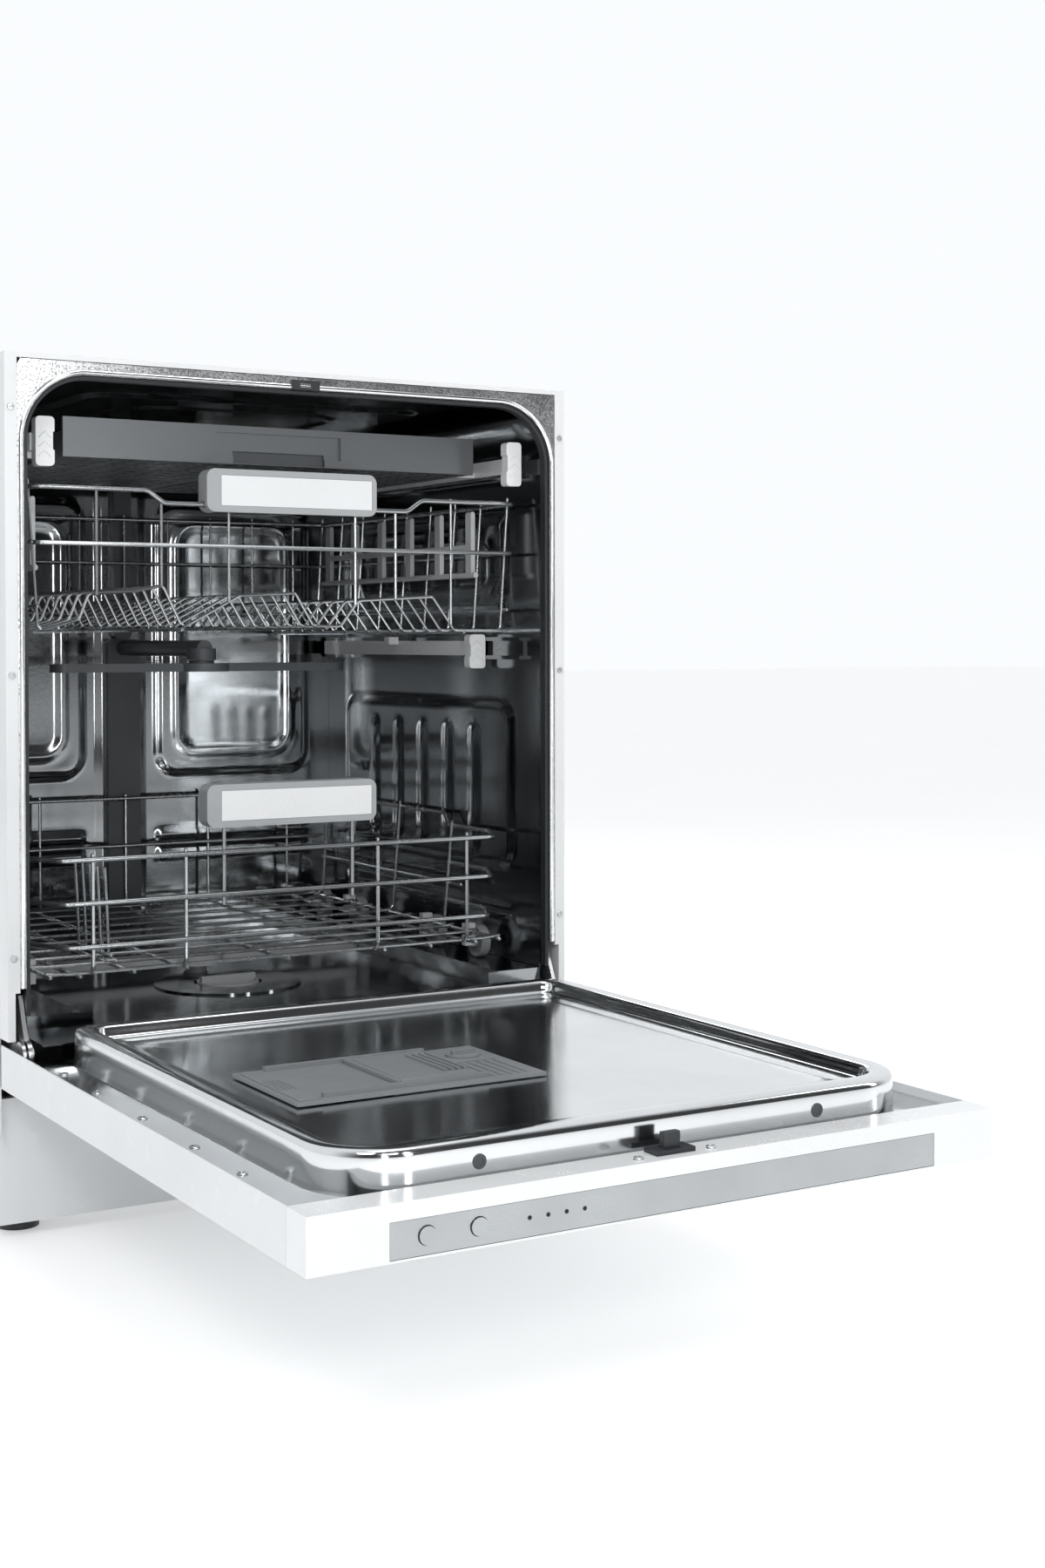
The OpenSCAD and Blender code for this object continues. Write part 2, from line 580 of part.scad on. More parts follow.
module door_screws() place() color("gray") {
  pair() for (y = [-96, -182, -289, -398, -488]) {
    along_z(178.1, 179.9, 279, y, 4, 32);
    along_z(166, 178.2, 279, y, 1.9, 24);
  }
  for (x = [-32, 32]) along_z(door_z + 0.1, door_z + 1.8, x, -625, 4, 32);
}

tub_wrapper();
tub_back();
tub_floor();
front_frame();
door_gasket();
casing_panels();
base_pan();
plinth();
feet();
hinge_brackets();
latch_striker();
sump();
circulation_pump();
drain_pump();
feed_duct();
ceiling_spray();
filter_plate();
filter_cylinder();
softener();
salt_cap();
inlet_valve();
door_springs();
rails_fixed();
lower_spray_arm();
upper_rails_mid();
tray_rails_mid();
upper_basket();
upper_handle();
upper_handle_plate();
upper_rail_carriers();
upper_feed_pipe();
upper_spray_arm();
cup_shelf_left();
cup_shelf_right();
cutlery_tray();
tray_front();
tray_rail_carriers();
lower_basket();
lower_handle();
lower_handle_plate();
wheel_brackets();
wheels_front();
wheels_second();
wheels_third();
wheels_rear();
tine_row_rear();
tine_row_front();
door_outer_panel();
door_inner_liner();
control_housing();
control_fascia();
door_latch();
latch_tongue();
dispenser();
dispenser_lid();
rinse_aid_cap();
power_button();
start_button();
hinge_arms();
door_screws();
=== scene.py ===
import json
import math
import random
import bpy
from mathutils import Vector, Matrix, Euler


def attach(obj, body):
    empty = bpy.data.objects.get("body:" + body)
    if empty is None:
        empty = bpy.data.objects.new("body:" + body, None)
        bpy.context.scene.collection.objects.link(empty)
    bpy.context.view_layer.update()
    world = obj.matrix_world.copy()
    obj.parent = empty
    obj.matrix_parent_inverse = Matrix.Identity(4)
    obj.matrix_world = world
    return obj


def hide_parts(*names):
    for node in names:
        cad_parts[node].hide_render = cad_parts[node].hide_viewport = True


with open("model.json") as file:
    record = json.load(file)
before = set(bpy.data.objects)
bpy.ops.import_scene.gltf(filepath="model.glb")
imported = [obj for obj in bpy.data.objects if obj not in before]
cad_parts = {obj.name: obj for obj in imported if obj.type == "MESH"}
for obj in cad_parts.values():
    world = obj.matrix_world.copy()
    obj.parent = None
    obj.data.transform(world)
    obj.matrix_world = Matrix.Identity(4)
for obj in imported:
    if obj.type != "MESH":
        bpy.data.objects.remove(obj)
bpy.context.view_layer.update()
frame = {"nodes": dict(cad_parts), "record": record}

Y0 = 37.1                      # the front plane of the body in the row frame, in mm
random.seed(7)
scene = bpy.context.scene
scene.view_settings.view_transform = "Standard"
scene.view_settings.look = "None"


def P(x, y, z):
    return Vector((x / 1000, (y + Y0) / 1000, z / 1000))


# ---------------------------------------------------------------- camera
cam_data = bpy.data.cameras.new("camera")
cam = bpy.data.objects.new("camera", cam_data)
scene.collection.objects.link(cam)
cam.location = P(-857.0, -1836.3, 557.5)
cam.rotation_euler = Euler((math.radians(90 - 1.14), math.radians(0.07), math.radians(-31.03)), "XYZ")
cam_data.sensor_fit = "HORIZONTAL"
cam_data.sensor_width = 36
cam_data.lens = 36 * 2357 / 1200
cam_data.shift_y = -118 / 1200
cam_data.clip_start = 0.05
cam_data.clip_end = 60
cam_data.dof.use_dof = False
scene.camera = cam


# ---------------------------------------------------------------- materials
def material(name, color, metallic=0.0, rough=0.4, rough_var=0.1, fine=900.0, bump=0.05, bump_dist=0.0002, stretch=(1, 1, 1),
             dirt=0.06, dirt_scale=9.0, coat=0.0, speckle=0.0, wear=0.0, ior=1.45):
    m = bpy.data.materials.new(name)
    m.use_nodes = True
    nt = m.node_tree
    nt.nodes.clear()
    new = nt.nodes.new
    link = nt.links.new
    out = new("ShaderNodeOutputMaterial")
    b = new("ShaderNodeBsdfPrincipled")
    link(b.outputs[0], out.inputs[0])
    b.inputs["Metallic"].default_value = metallic
    b.inputs["IOR"].default_value = ior
    if coat:
        b.inputs["Coat Weight"].default_value = coat
        b.inputs["Coat Roughness"].default_value = 0.08
    tc = new("ShaderNodeTexCoord")
    mp = new("ShaderNodeMapping")
    mp.inputs["Scale"].default_value = stretch
    link(tc.outputs["Object"], mp.inputs["Vector"])
    # the fine grain
    n1 = new("ShaderNodeTexNoise")
    n1.inputs["Scale"].default_value = fine
    n1.inputs["Detail"].default_value = 4
    link(mp.outputs[0], n1.inputs["Vector"])
    # wide smudges
    n2 = new("ShaderNodeTexNoise")
    n2.inputs["Scale"].default_value = dirt_scale
    n2.inputs["Detail"].default_value = 5
    n2.inputs["Roughness"].default_value = 0.62
    link(tc.outputs["Object"], n2.inputs["Vector"])
    add = new("ShaderNodeMath")
    add.operation = "MULTIPLY_ADD"
    link(n2.outputs[0], add.inputs[0])
    add.inputs[1].default_value = 0.65
    sc = new("ShaderNodeMath")
    sc.operation = "MULTIPLY"
    link(n1.outputs[0], sc.inputs[0])
    sc.inputs[1].default_value = 0.35
    link(sc.outputs[0], add.inputs[2])
    mr = new("ShaderNodeMapRange")
    link(add.outputs[0], mr.inputs["Value"])
    mr.inputs["From Min"].default_value = 0.3
    mr.inputs["From Max"].default_value = 0.7
    mr.inputs["To Min"].default_value = max(0.02, rough - rough_var)
    mr.inputs["To Max"].default_value = min(1.0, rough + rough_var)
    link(mr.outputs[0], b.inputs["Roughness"])
    # colour: slightly darker where it is handled, and speckles where asked
    mix = new("ShaderNodeMix")
    mix.data_type = "RGBA"
    mix.inputs[6].default_value = (*color, 1)
    mix.inputs[7].default_value = (*[c * (1 - 2.2 * dirt) for c in color], 1)
    ramp = new("ShaderNodeMapRange")
    link(n2.outputs[0], ramp.inputs["Value"])
    ramp.inputs["From Min"].default_value = 0.42
    ramp.inputs["From Max"].default_value = 0.75
    link(ramp.outputs[0], mix.inputs[0])
    col = mix.outputs[2]
    if wear:
        n3 = new("ShaderNodeTexNoise")
        n3.inputs["Scale"].default_value = 55
        n3.inputs["Detail"].default_value = 8
        link(tc.outputs["Object"], n3.inputs["Vector"])
        r3 = new("ShaderNodeMapRange")
        link(n3.outputs[0], r3.inputs["Value"])
        r3.inputs["From Min"].default_value = 0.62
        r3.inputs["From Max"].default_value = 0.70
        r3.inputs["To Max"].default_value = wear
        m3 = new("ShaderNodeMix")
        m3.data_type = "RGBA"
        link(r3.outputs[0], m3.inputs[0])
        link(col, m3.inputs[6])
        m3.inputs[7].default_value = (*[min(1, c * 1.25 + 0.03) for c in color], 1)
        col = m3.outputs[2]
    if speckle:
        v = new("ShaderNodeTexVoronoi")
        v.inputs["Scale"].default_value = 420
        link(tc.outputs["Object"], v.inputs["Vector"])
        r4 = new("ShaderNodeMapRange")
        link(v.outputs["Distance"], r4.inputs["Value"])
        r4.inputs["From Min"].default_value = 0.25
        r4.inputs["From Max"].default_value = 0.45
        r4.inputs["To Min"].default_value = speckle
        r4.inputs["To Max"].default_value = 0
        m4 = new("ShaderNodeMix")
        m4.data_type = "RGBA"
        link(r4.outputs[0], m4.inputs[0])
        link(col, m4.inputs[6])
        m4.inputs[7].default_value = (0.1, 0.11, 0.12, 1)
        col = m4.outputs[2]
    link(col, b.inputs["Base Color"])
    bp = new("ShaderNodeBump")
    bp.inputs["Strength"].default_value = bump
    bp.inputs["Distance"].default_value = bump_dist
    link(n1.outputs[0], bp.inputs["Height"])
    link(bp.outputs[0], b.inputs["Normal"])
    return m


M = {
    # mirror_steel and tub_steel are the same stainless steel as pan_steel and collar_steel with the base colour
    # darkened: painted shade and painted dark reflection for the inside of the tub
    "mirror_steel": material("mirror_steel", (0.36, 0.372, 0.38), 1.0, 0.12, 0.05, 260, 0.12, 0.0001, (1, 1, 14), 0.05, 7),
    "tub_steel": material("tub_steel", (0.30, 0.312, 0.32), 1.0, 0.10, 0.05, 300, 0.16, 0.0001, (1, 12, 1), 0.06, 8),
    "bead_steel": material("bead_steel", (0.80, 0.81, 0.82), 1.0, 0.10, 0.05, 500, 0.05, 0.0001, (1, 1, 1), 0.04, 12),
    "collar_steel": material("collar_steel", (0.62, 0.63, 0.64), 1.0, 0.24, 0.08, 500, 0.2, 0.0001, (1, 1, 1), 0.08, 14, speckle=0.75),
    "pan_steel": material("pan_steel", (0.70, 0.715, 0.725), 1.0, 0.12, 0.05, 240, 0.12, 0.0001, (14, 1, 1), 0.05, 6),
    "white_paint": material("white_paint", (0.66, 0.672, 0.68), 0.0, 0.34, 0.08, 700, 0.05, 0.0001, dirt=0.02, coat=0.25, wear=0.15),
    "black_rubber": material("black_rubber", (0.018, 0.02, 0.022), 0.0, 0.42, 0.1, 900, 0.2, 0.0001, dirt=0.1, wear=0.2),
    "zinc_sheet": material("zinc_sheet", (0.60, 0.615, 0.625), 1.0, 0.30, 0.09, 60, 0.1, 0.0001, (1, 1, 1), 0.12, 26, wear=0.3),
    "casing_zinc": material("casing_zinc", (0.62, 0.635, 0.65), 1.0, 0.38, 0.08, 45, 0.08, 0.0001, (1, 1, 1), 0.12, 30, wear=0.25),
    "pale_plastic": material("pale_plastic", (0.66, 0.67, 0.67), 0.0, 0.55, 0.08, 800, 0.2, 0.0001, dirt=0.05),
    "black_plastic": material("black_plastic", (0.022, 0.025, 0.028), 0.0, 0.38, 0.1, 900, 0.2, 0.0001, dirt=0.1, wear=0.12),
    "dark_plastic": material("dark_plastic", (0.06, 0.066, 0.072), 0.0, 0.40, 0.08, 900, 0.2, 0.0001, dirt=0.08, wear=0.1),
    "dispenser_grey": material("dispenser_grey", (0.20, 0.21, 0.22), 0.0, 0.42, 0.08, 900, 0.2, 0.0001, dirt=0.06, wear=0.08),
    "grey_plastic": material("grey_plastic", (0.33, 0.342, 0.35), 0.0, 0.42, 0.08, 900, 0.15, 0.0001, dirt=0.04, wear=0.1),
    "light_plastic": material("light_plastic", (0.50, 0.512, 0.52), 0.0, 0.36, 0.08, 900, 0.12, 0.0001, dirt=0.04, wear=0.1),
    "white_plastic": material("white_plastic", (0.70, 0.712, 0.72), 0.0, 0.25, 0.07, 800, 0.06, 0.0001, dirt=0.02, coat=0.3),
    # coated_wire: the coating's own grey, darkened further as painted shade for the baskets inside the tub
    "coated_wire": material("coated_wire", (0.36, 0.375, 0.385), 0.9, 0.24, 0.07, 500, 0.12, 0.0001, dirt=0.08, wear=0.25, coat=0.15),
    "brushed_grey": material("brushed_grey", (0.42, 0.435, 0.445), 0.9, 0.30, 0.07, 420, 0.2, 0.0001, (0.06, 1, 6), 0.04, 10),
    "tray_grey": material("tray_grey", (0.15, 0.158, 0.165), 0.75, 0.36, 0.07, 420, 0.2, 0.0001, (0.06, 1, 6), 0.04, 10),
    "wheel_grey": material("wheel_grey", (0.22, 0.232, 0.24), 0.0, 0.38, 0.08, 900, 0.15, 0.0001, dirt=0.06, wear=0.15),
    "dark_gap": material("dark_gap", (0.01, 0.011, 0.012), 0.0, 0.7, 0.1, 700, 0.1, 0.0001, dirt=0.05),
}


# ---------------------------------------------------------------- mesh helpers
def piece(name, verts, faces, mat, body, smooth=True, auto=35, bevel=0.0, segs=2):
    me = bpy.data.meshes.new(name)
    me.from_pydata([tuple(v) for v in verts], [], faces)
    me.validate()
    me.update()
    ob = bpy.data.objects.new(name, me)
    scene.collection.objects.link(ob)
    me.materials.append(M[mat])
    if smooth:
        me.shade_smooth() if hasattr(me, "shade_smooth") else None
        sharp(me, auto)
    if bevel:
        add_bevel(ob, bevel, segs)
    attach(ob, body)
    return ob


def sharp(me, angle):
    """smooth shading with edges sharper than angle kept"""
    import bmesh
    bm = bmesh.new()
    bm.from_mesh(me)
    for f in bm.faces:
        f.smooth = True
    lim = math.radians(angle)
    for e in bm.edges:
        e.smooth = not (len(e.link_faces) == 2 and e.calc_face_angle(0) > lim)
    bm.normal_update()
    bm.to_mesh(me)
    bm.free()


def add_bevel(ob, width, segs=2, angle=40):
    b = ob.modifiers.new("edge", "BEVEL")
    b.width = width / 1000
    b.segments = segs
    b.limit_method = "ANGLE"
    b.angle_limit = math.radians(angle)
    b.use_clamp_overlap = True
    b.harden_normals = False
    return b


class Mesh:
    """collects closed shells, in mm in the body's own frame"""
    def __init__(self):
        self.v = []
        self.f = []

    def add(self, verts, faces):
        n = len(self.v)
        self.v += [P(*v) for v in verts]
        self.f += [tuple(i + n for i in f) for f in faces]

    def box(self, x1, x2, y1, y2, z1, z2):
        v = [(x, y, z) for z in (z1, z2) for y in (y1, y2) for x in (x1, x2)]
        self.add(v, [(0, 2, 3, 1), (4, 5, 7, 6), (0, 1, 5, 4), (2, 6, 7, 3), (0, 4, 6, 2), (1, 3, 7, 5)])

    def wire(self, pts, r, fillet=6.0, sides=10, closed=False):
        pts = rounded([Vector(p) for p in pts], fillet)
        self.sweep(pts, [(r * math.cos(2 * math.pi * i / sides), r * math.sin(2 * math.pi * i / sides)) for i in range(sides)], r)

    def sweep(self, pts, section, dome=0.0, up=None):
        n = len(section)
        rings = []
        t0 = (pts[1] - pts[0]).normalized()
        ref = Vector(up) if up is not None else (Vector((0, 0, 1)) if abs(t0.z) < 0.9 else Vector((1, 0, 0)))
        u = (ref - t0 * ref.dot(t0)).normalized()
        prev = t0
        for i, p in enumerate(pts):
            if i == 0:
                t = t0
            elif i == len(pts) - 1:
                t = (pts[-1] - pts[-2]).normalized()
            else:
                t = ((pts[i + 1] - p).normalized() + (p - pts[i - 1]).normalized()).normalized()
            q = prev.rotation_difference(t)
            u = (q @ u)
            u = (u - t * u.dot(t)).normalized()
            prev = t
            w = t.cross(u)
            rings.append((p, t, u, w))
        allr = []
        if dome:
            p, t, u, w = rings[0]
            allr.append([p - t * dome * 0.45 + (u * a + w * b) * 0.55 for a, b in section])
        for p, t, u, w in rings:
            allr.append([p + u * a + w * b for a, b in section])
        if dome:
            p, t, u, w = rings[-1]
            allr.append([p + t * dome * 0.45 + (u * a + w * b) * 0.55 for a, b in section])
        verts = [tuple(v) for r_ in allr for v in r_]
        faces = []
        for k in range(len(allr) - 1):
            for i in range(n):
                j = (i + 1) % n
                faces.append((k * n + i, k * n + j, (k + 1) * n + j, (k + 1) * n + i))
        faces.append(tuple(range(n - 1, -1, -1)))
        faces.append(tuple((len(allr) - 1) * n + i for i in range(n)))
        self.add(verts, faces)

    def lathe(self, origin, axis, profile, n=40):
        """profile: (radius, distance along axis), from one end to the other; closed at both ends"""
        o = Vector(origin)
        a = Vector(axis).normalized()
        ref = Vector((0, 0, 1)) if abs(a.z) < 0.9 else Vector((1, 0, 0))
        u = (ref - a * ref.dot(a)).normalized()
        w = a.cross(u)
        verts, faces = [], []
        for r, h in profile:
            for i in range(n):
                t = 2 * math.pi * i / n
                verts.append(tuple(o + a * h + (u * math.cos(t) + w * math.sin(t)) * max(r, 0.01)))
        for k in range(len(profile) - 1):
            for i in range(n):
                j = (i + 1) % n
                faces.append((k * n + i, k * n + j, (k + 1) * n + j, (k + 1) * n + i))
        faces.append(tuple(range(n - 1, -1, -1)))
        faces.append(tuple((len(profile) - 1) * n + i for i in range(n)))
        self.add(verts, faces)

    def ring(self, origin, axis, profile, n=48):
        """a closed profile turned about the axis"""
        o = Vector(origin)
        a = Vector(axis).normalized()
        ref = Vector((0, 0, 1)) if abs(a.z) < 0.9 else Vector((1, 0, 0))
        u = (ref - a * ref.dot(a)).normalized()
        w = a.cross(u)
        verts, faces = [], []
        m = len(profile)
        for r, h in profile:
            for i in range(n):
                t = 2 * math.pi * i / n
                verts.append(tuple(o + a * h + (u * math.cos(t) + w * math.sin(t)) * r))
        for k in range(m):
            l = (k + 1) % m
            for i in range(n):
                j = (i + 1) % n
                faces.append((k * n + i, k * n + j, l * n + j, l * n + i))
        self.add(verts, faces)

    def loft(self, loops, cap=True, wrap=False):
        """closed loops of equal length joined one after another"""
        n = len(loops[0])
        verts = [tuple(v) for l in loops for v in l]
        faces = []
        k_max = len(loops) if wrap else len(loops) - 1
        for k in range(k_max):
            l = (k + 1) % len(loops)
            for i in range(n):
                j = (i + 1) % n
                faces.append((k * n + i, k * n + j, l * n + j, l * n + i))
        if cap and not wrap:
            faces.append(tuple(range(n - 1, -1, -1)))
            faces.append(tuple((len(loops) - 1) * n + i for i in range(n)))
        self.add(verts, faces)

    def make(self, name, mat, body, auto=35, bevel=0.0, segs=2):
        ob = piece(name, self.v, self.f, mat, body, True, auto, bevel, segs)
        import bmesh
        bm = bmesh.new()
        bm.from_mesh(ob.data)
        bmesh.ops.recalc_face_normals(bm, faces=bm.faces)
        bm.to_mesh(ob.data)
        bm.free()
        return ob


def rounded(pts, radius, n=5):
    """a polyline with its corners turned into arcs"""
    if radius <= 0 or len(pts) < 3:
        return pts
    out = [pts[0]]
    for i in range(1, len(pts) - 1):
        a, b, c = pts[i - 1], pts[i], pts[i + 1]
        u, v = (a - b), (c - b)
        lu, lv = u.length, v.length
        u.normalize()
        v.normalize()
        ang = u.angle(v)
        if ang > math.radians(176):
            out.append(b)
            continue
        d = min(radius / math.tan(ang / 2), lu * 0.46, lv * 0.46)
        p1, p2 = b + u * d, b + v * d
        for k in range(n + 1):
            t = k / n
            out.append((1 - t) ** 2 * p1 + 2 * t * (1 - t) * b + t * t * p2)
    out.append(pts[-1])
    return out


def mirrored(pts):
    return [(-p[0], p[1], p[2]) for p in pts]


def soft_loop(x1, x2, y1, y2, radii, n=8, m=6):
    """rounded rectangle as a loop; radii for (x1,y1), (x2,y1), (x2,y2), (x1,y2)"""
    cs = [(x1 + radii[0], y1 + radii[0], math.pi, radii[0]), (x2 - radii[1], y1 + radii[1], 1.5 * math.pi, radii[1]),
          (x2 - radii[2], y2 - radii[2], 0, radii[2]), (x1 + radii[3], y2 - radii[3], 0.5 * math.pi, radii[3])]
    out = []
    for k, (cx, cy, a0, r) in enumerate(cs):
        arc = [(cx + r * math.cos(a0 + 0.5 * math.pi * i / n), cy + r * math.sin(a0 + 0.5 * math.pi * i / n)) for i in range(n + 1)]
        out += arc
        nx = cs[(k + 1) % 4]
        s = (nx[0] + nx[3] * math.cos(nx[2]), nx[1] + nx[3] * math.sin(nx[2]))
        e = arc[-1]
        for i in range(1, m):
            t = i / m
            out.append((e[0] + (s[0] - e[0]) * t, e[1] + (s[1] - e[1]) * t))
    return out


def arch_path(hw, top, r, bottom, step=6.0, n=18):
    pts = []
    k = max(1, int((top - r - bottom) / step))
    pts += [(-hw, bottom + (top - r - bottom) * i / k) for i in range(k)]
    pts += [(-hw + r - r * math.cos(math.pi / 2 * i / n), top - r + r * math.sin(math.pi / 2 * i / n)) for i in range(n)]
    k2 = max(1, int((2 * (hw - r)) / step))
    pts += [(-hw + r + 2 * (hw - r) * i / k2, top) for i in range(k2)]
    pts += [(hw - r + r * math.sin(math.pi / 2 * i / n), top - r + r * math.cos(math.pi / 2 * i / n)) for i in range(n)]
    pts += [(hw, top - r - (top - r - bottom) * i / k) for i in range(k + 1)]
    return pts


def smooth01(t):
    t = max(0.0, min(1.0, t))
    return t * t * (3 - 2 * t)


def sd_box(x, y, cx, cy, hx, hy, r):
    dx, dy = abs(x - cx) - hx + r, abs(y - cy) - hy + r
    return math.hypot(max(dx, 0), max(dy, 0)) + min(max(dx, dy), 0) - r


def panel(x, y, c, h, ramp=7.0):
    """raised panel: c = (cx, cy, half x, half y, r)"""
    return h * smooth01(-sd_box(x, y, *c) / ramp)


def bead(x, y, c, h, w=7.0):
    """raised bead along a rounded rectangle's outline"""
    d = sd_box(x, y, *c)
    return h * math.exp(-(d / w) ** 2)


def plate_grid(name, us, vs, at, thick_at, mat, body):
    """closed sheet: at(u, v) is the seen side, thick_at(u, v) the hidden side"""
    nu, nv = len(us), len(vs)
    verts = [at(u, v) for v in vs for u in us] + [thick_at(u, v) for v in vs for u in us]
    n = nu * nv
    faces = []
    for j in range(nv - 1):
        for i in range(nu - 1):
            a = j * nu + i
            faces.append((a, a + 1, a + nu + 1, a + nu))
            faces.append((n + a, n + a + nu, n + a + nu + 1, n + a + 1))
    for i in range(nu - 1):
        faces.append((i, n + i, n + i + 1, i + 1))
        a = (nv - 1) * nu + i
        faces.append((a, a + 1, n + a + 1, n + a))
    for j in range(nv - 1):
        a = j * nu
        faces.append((a, a + nu, n + a + nu, n + a))
        a = j * nu + nu - 1
        faces.append((a, n + a, n + a + nu, a + nu))
    m = Mesh()
    m.add(verts, faces)
    return m.make(name, mat, body)


def lin(a, b, step):
    k = max(1, int(round((b - a) / step)))
    return [a + (b - a) * i / k for i in range(k + 1)]


# ---------------------------------------------------------------- CAD nodes keep their shape and get finishes
NODE_MAT = {"tub_back": "tub_steel", "tub_floor": "tub_steel", "casing_panels": "casing_zinc", "dispenser": "dispenser_grey",
            "dispenser_lid": "dispenser_grey", "rinse_aid_cap": "dispenser_grey", "upper_handle": "grey_plastic", "lower_handle": "grey_plastic",
            "wheel_brackets": "light_plastic", "cup_shelf_left": "light_plastic", "cup_shelf_right": "light_plastic", "filter_plate": "tub_steel", "tray_front": "tray_grey",
            "upper_spray_arm": "dark_plastic", "upper_feed_pipe": "dark_plastic"}
slot_of_node = {s["node"]: s["material_slot"] for s in frame["record"]["subparts"]}
BEVEL = {"front_frame": 0.9, "casing_panels": 0.3, "base_pan": 1.5, "plinth": 1.0, "upper_handle": 1.8, "lower_handle": 1.8,
         "upper_handle_plate": 0.5, "lower_handle_plate": 0.5, "tray_front": 1.2, "cutlery_tray": 0.4, "upper_rail_carriers": 1.2,
         "tray_rail_carriers": 1.2, "control_housing": 3.0, "control_fascia": 0.6, "door_outer_panel": 0.4, "door_latch": 0.8, "latch_tongue": 1.0,
         "dispenser": 1.2, "dispenser_lid": 0.9, "rinse_aid_cap": 0.8, "cup_shelf_left": 0.9, "cup_shelf_right": 0.9, "hinge_arms": 0.6,
         "rails_fixed": 0.5, "upper_rails_mid": 0.8, "tray_rails_mid": 0.8, "lower_spray_arm": 2.2, "upper_spray_arm": 2.0,
         "filter_cylinder": 0.8, "salt_cap": 1.0, "wheel_brackets": 0.9, "latch_striker": 0.5, "feed_duct": 1.5, "softener": 2.0,
         "circulation_pump": 1.5, "drain_pump": 1.0, "inlet_valve": 0.8, "feet": 1.0, "hinge_brackets": 0.4, "power_button": 0.7,
         "start_button": 0.7, "ceiling_spray": 1.5, "sump": 1.0}
for name, ob in frame["nodes"].items():
    ob.data.materials.clear()
    ob.data.materials.append(M[NODE_MAT.get(name, slot_of_node[name])])
    if name in BEVEL:
        add_bevel(ob, BEVEL[name], 3 if BEVEL[name] > 1 else 2)

# ---------------------------------------------------------------- tub: embossed mirror steel
HW, TOP, R = 277.5, 799.0, 44.8


def side_emboss(y, z):
    h = 0.0
    h += panel(y, z, (270, 640, 190, 52, 20), 3.0, 9)
    h += bead(y, z, (270, 640, 158, 26, 14), 1.6, 5)
    h += panel(y, z, (270, 400, 205, 92, 26), 3.2, 9)
    for c in (-120, -60, 0, 60, 120):
        h += bead(y, z, (270 + c, 395, 3, 62, 3), 2.4, 6)
    h += bead(y, z, (270, 262, 200, 2, 2), 2.2, 5)
    return h


def top_emboss(x, y):
    return panel(x, y, (0, 270, 190, 190, 40), 3.0, 10) + bead(x, y, (0, 270, 120, 120, 60), 2.0, 6)


path = arch_path(HW, TOP, R, 211.6, 4.2, 16)
ys = lin(14.6, 527.6, 5.0)


def tub_point(i, y, off):
    x, z = path[i]
    a = path[max(i - 1, 0)]
    b = path[min(i + 1, len(path) - 1)]
    t = Vector((b[0] - a[0], b[1] - a[1])).normalized()
    n = Vector((t[1], -t[0]))
    fade = smooth01((y - 30) / 20) * smooth01((515 - y) / 15)
    if abs(x) > HW - 0.5:
        h = side_emboss(y, z) * fade * smooth01((TOP - R - z) / 12)
    elif z > TOP - 0.5:
        h = top_emboss(x, y) * fade
    else:
        h = 0
    k = off if off is not None else h + 0.15
    return (x + n[0] * k, y, z + n[1] * k)


tub = plate_grid("tub_skin", list(range(len(path))), ys, lambda i, y: tub_point(i, y, None), lambda i, y: tub_point(i, y, -1.1), "tub_steel", "body")
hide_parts("tub_wrapper")


def back_emboss(x, z):
    h = 0.0
    for s in (-1, 1):
        h += panel(x, z, (s * 146, 560, 104, 168, 30), 3.4, 10)
        h += bead(x, z, (s * 146, 560, 74, 138, 24), 1.8, 6)
        for k in (0, 1):
            h += bead(x, z, (s * 146, 300 + 22 * k, 96, 1.5, 1.5), 2.4, 4.5)
    h += panel(x, z, (0, 500, 30, 320, 8), 2.0, 5)
    return h


def in_arch(x, z):
    """keeps the back wall's corners inside the tub's outline"""
    cx, cz = HW - R, TOP - R
    if abs(x) > cx and z > cz:
        d = math.hypot(abs(x) - cx, z - cz)
        if d > R + 0.6:
            f = (R + 0.6) / d
            return (math.copysign(cx + (abs(x) - cx) * f, x), cz + (z - cz) * f)
    return x, z


def back_at(x, z, front):
    px, pz = in_arch(x, z)
    return (px, (527.9 - back_emboss(px, pz)) if front else 529.2, pz)


backw = plate_grid("tub_back_wall", lin(-278.2, 278.2, 4.2), lin(191, 799.8, 4.2), lambda x, z: back_at(x, z, True), lambda x, z: back_at(x, z, False), "tub_steel", "body")
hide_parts("tub_back")

# front flange: collar plate, throat, bead, gasket lips
OH, OT, OR = 281.5, 803.0, 62.0


def ring_plate(name, outer, inner, y1, y2, mat):
    m = Mesh()
    n = len(outer)
    verts = [(p[0], y, p[1]) for y in (y1, y2) for p in (outer + inner)]
    faces = []
    k = 2 * n
    for i in range(n - 1):
        faces.append((i, i + 1, n + i + 1, n + i))
        faces.append((k + i, k + n + i, k + n + i + 1, k + i + 1))
        faces.append((i, k + i, k + i + 1, i + 1))
        faces.append((n + i, n + i + 1, k + n + i + 1, k + n + i))
    faces.append((0, n, k + n, k))
    faces.append((n - 1, k + n - 1, k + 2 * n - 1, 2 * n - 1))
    m.add(verts, faces)
    return m.make(name, mat, "body")


inner = arch_path(OH, OT, OR, 240, 6, 24)
outer = []
for (x, z) in inner:
    # straight out to the plate's outer edge
    if z <= OT - OR + 0.01:
        outer.append((math.copysign(287.2, x), z))
    elif abs(x) <= OH - OR + 0.01:
        outer.append((x, 814.6))
    else:
        cx, cz = math.copysign(OH - OR, x), OT - OR
        dx, dz = x - cx, z - cz
        f = min((287.2 - abs(cx)) / max(abs(dx), 1e-6), (814.6 - cz) / max(dz, 1e-6))
        outer.append((cx + dx * f, cz + dz * f))
ring_plate("collar_plate", outer, inner, 0.3, 1.5, "collar_steel")
ring_plate("throat", arch_path(OH + 1.1, OT + 1.1, OR + 1.1, 240, 6, 24), inner, 1.5, 13.0, "bead_steel")


